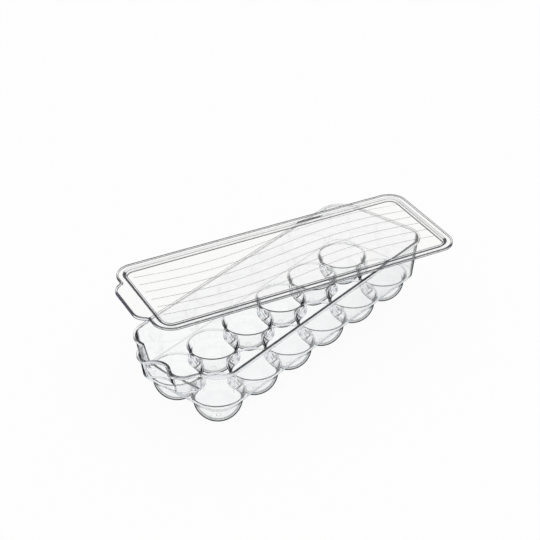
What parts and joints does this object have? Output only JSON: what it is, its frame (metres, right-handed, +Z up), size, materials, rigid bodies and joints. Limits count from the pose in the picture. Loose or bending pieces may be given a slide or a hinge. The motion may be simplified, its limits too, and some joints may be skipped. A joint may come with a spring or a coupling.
{
  "type": "egg tray with lid",
  "caption": "Clear moulded egg tray with round cups, high drafted walls and a scalloped handle end, and a loose clear lid with a pull tab lying askew on its rim.",
  "frame": {"origin": "middle of the cup grid, on the plane that the tray stands on", "axes": "+Z up, +X along the tray away from its handle end, +Y across it towards the back row"},
  "size_m": [0.3747, 0.2248, 0.0773],
  "materials": {
    "tray_plastic": "polished, clear",
    "lid_plastic": "polished, clear"
  },
  "bodies": {
    "tray": {"tray": "tray_plastic"},
    "lid": {"lid": "lid_plastic"}
  },
  "joints": [
    {"name": "lid_lift", "type": "slide", "parent": "tray", "child": "lid", "axis": [0, 0, 1], "range_m": [0, 0.15]}
  ]
}
